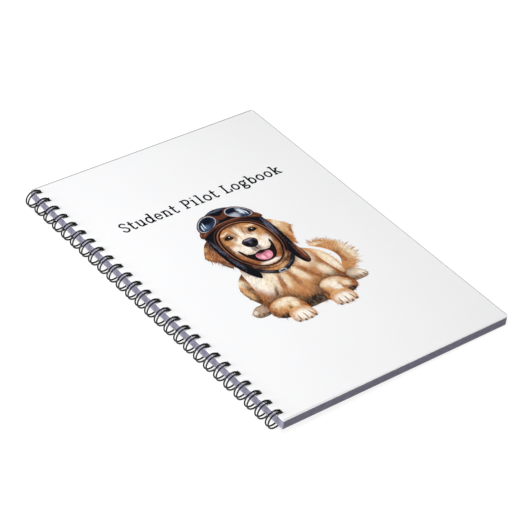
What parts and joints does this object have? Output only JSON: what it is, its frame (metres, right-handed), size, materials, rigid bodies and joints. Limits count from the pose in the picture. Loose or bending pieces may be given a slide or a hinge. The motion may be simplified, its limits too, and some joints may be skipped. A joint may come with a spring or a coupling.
{
  "type": "pilot logbook",
  "caption": "Wire-bound pilot's logbook with a white laminated cover, ruled sheets and a black twin-loop binding along its long edge.",
  "frame": {"origin": "below the middle of the whole object, at the height of the wire's lowest point", "axes": "+X from the bound spine to the fore edge, +Y from the foot of the page to its head, +Z out of the front cover"},
  "size_m": [0.1642, 0.2222, 0.0107],
  "materials": {
    "cover_card": "white card with a thin satin film on its outside",
    "page_paper": "uncoated white writing paper, ruled on both sides",
    "back_board": "plain grey board",
    "binding_wire": "black nylon-coated steel wire, semi-gloss"
  },
  "bodies": {
    "root": {"back_cover": "back_board", "binding_wire": "binding_wire"},
    "front_cover": {"front_cover": "cover_card"},
    "sheet_01": {"sheet_01": "page_paper"},
    "sheet_02": {"sheet_02": "page_paper"},
    "sheet_03": {"sheet_03": "page_paper"},
    "sheet_04": {"sheet_04": "page_paper"},
    "sheet_05": {"sheet_05": "page_paper"},
    "sheet_06": {"sheet_06": "page_paper"},
    "sheet_07": {"sheet_07": "page_paper"},
    "sheet_08": {"sheet_08": "page_paper"},
    "sheet_09": {"sheet_09": "page_paper"},
    "sheet_10": {"sheet_10": "page_paper"},
    "sheet_11": {"sheet_11": "page_paper"},
    "sheet_12": {"sheet_12": "page_paper"},
    "sheet_13": {"sheet_13": "page_paper"},
    "sheet_14": {"sheet_14": "page_paper"},
    "sheet_15": {"sheet_15": "page_paper"},
    "sheet_16": {"sheet_16": "page_paper"},
    "sheet_17": {"sheet_17": "page_paper"},
    "sheet_18": {"sheet_18": "page_paper"},
    "sheet_19": {"sheet_19": "page_paper"},
    "sheet_20": {"sheet_20": "page_paper"},
    "sheet_21": {"sheet_21": "page_paper"},
    "sheet_22": {"sheet_22": "page_paper"},
    "sheet_23": {"sheet_23": "page_paper"},
    "sheet_24": {"sheet_24": "page_paper"},
    "sheet_25": {"sheet_25": "page_paper"},
    "sheet_26": {"sheet_26": "page_paper"},
    "sheet_27": {"sheet_27": "page_paper"},
    "sheet_28": {"sheet_28": "page_paper"},
    "sheet_29": {"sheet_29": "page_paper"},
    "sheet_30": {"sheet_30": "page_paper"},
    "sheet_31": {"sheet_31": "page_paper"},
    "sheet_32": {"sheet_32": "page_paper"},
    "sheet_33": {"sheet_33": "page_paper"},
    "sheet_34": {"sheet_34": "page_paper"},
    "sheet_35": {"sheet_35": "page_paper"},
    "sheet_36": {"sheet_36": "page_paper"},
    "sheet_37": {"sheet_37": "page_paper"},
    "sheet_38": {"sheet_38": "page_paper"},
    "sheet_39": {"sheet_39": "page_paper"},
    "sheet_40": {"sheet_40": "page_paper"}
  },
  "joints": [
    {"name": "front_cover_turn", "type": "hinge", "parent": "sheet_01", "child": "front_cover", "pos_m": [-0.07673, 0, 0.00535], "axis": [0, -1, 0], "range_deg": [0, 180]},
    {"name": "sheet_01_turn", "type": "hinge", "parent": "sheet_02", "child": "sheet_01", "pos_m": [-0.07673, 0, 0.00535], "axis": [0, -1, 0], "range_deg": [0, 180]},
    {"name": "sheet_02_turn", "type": "hinge", "parent": "sheet_03", "child": "sheet_02", "pos_m": [-0.07673, 0, 0.00535], "axis": [0, -1, 0], "range_deg": [0, 180]},
    {"name": "sheet_03_turn", "type": "hinge", "parent": "sheet_04", "child": "sheet_03", "pos_m": [-0.07673, 0, 0.00535], "axis": [0, -1, 0], "range_deg": [0, 180]},
    {"name": "sheet_04_turn", "type": "hinge", "parent": "sheet_05", "child": "sheet_04", "pos_m": [-0.07673, 0, 0.00535], "axis": [0, -1, 0], "range_deg": [0, 180]},
    {"name": "sheet_05_turn", "type": "hinge", "parent": "sheet_06", "child": "sheet_05", "pos_m": [-0.07673, 0, 0.00535], "axis": [0, -1, 0], "range_deg": [0, 180]},
    {"name": "sheet_06_turn", "type": "hinge", "parent": "sheet_07", "child": "sheet_06", "pos_m": [-0.07673, 0, 0.00535], "axis": [0, -1, 0], "range_deg": [0, 180]},
    {"name": "sheet_07_turn", "type": "hinge", "parent": "sheet_08", "child": "sheet_07", "pos_m": [-0.07673, 0, 0.00535], "axis": [0, -1, 0], "range_deg": [0, 180]},
    {"name": "sheet_08_turn", "type": "hinge", "parent": "sheet_09", "child": "sheet_08", "pos_m": [-0.07673, 0, 0.00535], "axis": [0, -1, 0], "range_deg": [0, 180]},
    {"name": "sheet_09_turn", "type": "hinge", "parent": "sheet_10", "child": "sheet_09", "pos_m": [-0.07673, 0, 0.00535], "axis": [0, -1, 0], "range_deg": [0, 180]},
    {"name": "sheet_10_turn", "type": "hinge", "parent": "sheet_11", "child": "sheet_10", "pos_m": [-0.07673, 0, 0.00535], "axis": [0, -1, 0], "range_deg": [0, 180]},
    {"name": "sheet_11_turn", "type": "hinge", "parent": "sheet_12", "child": "sheet_11", "pos_m": [-0.07673, 0, 0.00535], "axis": [0, -1, 0], "range_deg": [0, 180]},
    {"name": "sheet_12_turn", "type": "hinge", "parent": "sheet_13", "child": "sheet_12", "pos_m": [-0.07673, 0, 0.00535], "axis": [0, -1, 0], "range_deg": [0, 180]},
    {"name": "sheet_13_turn", "type": "hinge", "parent": "sheet_14", "child": "sheet_13", "pos_m": [-0.07673, 0, 0.00535], "axis": [0, -1, 0], "range_deg": [0, 180]},
    {"name": "sheet_14_turn", "type": "hinge", "parent": "sheet_15", "child": "sheet_14", "pos_m": [-0.07673, 0, 0.00535], "axis": [0, -1, 0], "range_deg": [0, 180]},
    {"name": "sheet_15_turn", "type": "hinge", "parent": "sheet_16", "child": "sheet_15", "pos_m": [-0.07673, 0, 0.00535], "axis": [0, -1, 0], "range_deg": [0, 180]},
    {"name": "sheet_16_turn", "type": "hinge", "parent": "sheet_17", "child": "sheet_16", "pos_m": [-0.07673, 0, 0.00535], "axis": [0, -1, 0], "range_deg": [0, 180]},
    {"name": "sheet_17_turn", "type": "hinge", "parent": "sheet_18", "child": "sheet_17", "pos_m": [-0.07673, 0, 0.00535], "axis": [0, -1, 0], "range_deg": [0, 180]},
    {"name": "sheet_18_turn", "type": "hinge", "parent": "sheet_19", "child": "sheet_18", "pos_m": [-0.07673, 0, 0.00535], "axis": [0, -1, 0], "range_deg": [0, 180]},
    {"name": "sheet_19_turn", "type": "hinge", "parent": "sheet_20", "child": "sheet_19", "pos_m": [-0.07673, 0, 0.00535], "axis": [0, -1, 0], "range_deg": [0, 180]},
    {"name": "sheet_20_turn", "type": "hinge", "parent": "sheet_21", "child": "sheet_20", "pos_m": [-0.07673, 0, 0.00535], "axis": [0, -1, 0], "range_deg": [0, 180]},
    {"name": "sheet_21_turn", "type": "hinge", "parent": "sheet_22", "child": "sheet_21", "pos_m": [-0.07673, 0, 0.00535], "axis": [0, -1, 0], "range_deg": [0, 180]},
    {"name": "sheet_22_turn", "type": "hinge", "parent": "sheet_23", "child": "sheet_22", "pos_m": [-0.07673, 0, 0.00535], "axis": [0, -1, 0], "range_deg": [0, 180]},
    {"name": "sheet_23_turn", "type": "hinge", "parent": "sheet_24", "child": "sheet_23", "pos_m": [-0.07673, 0, 0.00535], "axis": [0, -1, 0], "range_deg": [0, 180]},
    {"name": "sheet_24_turn", "type": "hinge", "parent": "sheet_25", "child": "sheet_24", "pos_m": [-0.07673, 0, 0.00535], "axis": [0, -1, 0], "range_deg": [0, 180]},
    {"name": "sheet_25_turn", "type": "hinge", "parent": "sheet_26", "child": "sheet_25", "pos_m": [-0.07673, 0, 0.00535], "axis": [0, -1, 0], "range_deg": [0, 180]},
    {"name": "sheet_26_turn", "type": "hinge", "parent": "sheet_27", "child": "sheet_26", "pos_m": [-0.07673, 0, 0.00535], "axis": [0, -1, 0], "range_deg": [0, 180]},
    {"name": "sheet_27_turn", "type": "hinge", "parent": "sheet_28", "child": "sheet_27", "pos_m": [-0.07673, 0, 0.00535], "axis": [0, -1, 0], "range_deg": [0, 180]},
    {"name": "sheet_28_turn", "type": "hinge", "parent": "sheet_29", "child": "sheet_28", "pos_m": [-0.07673, 0, 0.00535], "axis": [0, -1, 0], "range_deg": [0, 180]},
    {"name": "sheet_29_turn", "type": "hinge", "parent": "sheet_30", "child": "sheet_29", "pos_m": [-0.07673, 0, 0.00535], "axis": [0, -1, 0], "range_deg": [0, 180]},
    {"name": "sheet_30_turn", "type": "hinge", "parent": "sheet_31", "child": "sheet_30", "pos_m": [-0.07673, 0, 0.00535], "axis": [0, -1, 0], "range_deg": [0, 180]},
    {"name": "sheet_31_turn", "type": "hinge", "parent": "sheet_32", "child": "sheet_31", "pos_m": [-0.07673, 0, 0.00535], "axis": [0, -1, 0], "range_deg": [0, 180]},
    {"name": "sheet_32_turn", "type": "hinge", "parent": "sheet_33", "child": "sheet_32", "pos_m": [-0.07673, 0, 0.00535], "axis": [0, -1, 0], "range_deg": [0, 180]},
    {"name": "sheet_33_turn", "type": "hinge", "parent": "sheet_34", "child": "sheet_33", "pos_m": [-0.07673, 0, 0.00535], "axis": [0, -1, 0], "range_deg": [0, 180]},
    {"name": "sheet_34_turn", "type": "hinge", "parent": "sheet_35", "child": "sheet_34", "pos_m": [-0.07673, 0, 0.00535], "axis": [0, -1, 0], "range_deg": [0, 180]},
    {"name": "sheet_35_turn", "type": "hinge", "parent": "sheet_36", "child": "sheet_35", "pos_m": [-0.07673, 0, 0.00535], "axis": [0, -1, 0], "range_deg": [0, 180]},
    {"name": "sheet_36_turn", "type": "hinge", "parent": "sheet_37", "child": "sheet_36", "pos_m": [-0.07673, 0, 0.00535], "axis": [0, -1, 0], "range_deg": [0, 180]},
    {"name": "sheet_37_turn", "type": "hinge", "parent": "sheet_38", "child": "sheet_37", "pos_m": [-0.07673, 0, 0.00535], "axis": [0, -1, 0], "range_deg": [0, 180]},
    {"name": "sheet_38_turn", "type": "hinge", "parent": "sheet_39", "child": "sheet_38", "pos_m": [-0.07673, 0, 0.00535], "axis": [0, -1, 0], "range_deg": [0, 180]},
    {"name": "sheet_39_turn", "type": "hinge", "parent": "sheet_40", "child": "sheet_39", "pos_m": [-0.07673, 0, 0.00535], "axis": [0, -1, 0], "range_deg": [0, 180]},
    {"name": "sheet_40_turn", "type": "hinge", "parent": "root", "child": "sheet_40", "pos_m": [-0.07673, 0, 0.00535], "axis": [0, -1, 0], "range_deg": [0, 180]}
  ]
}
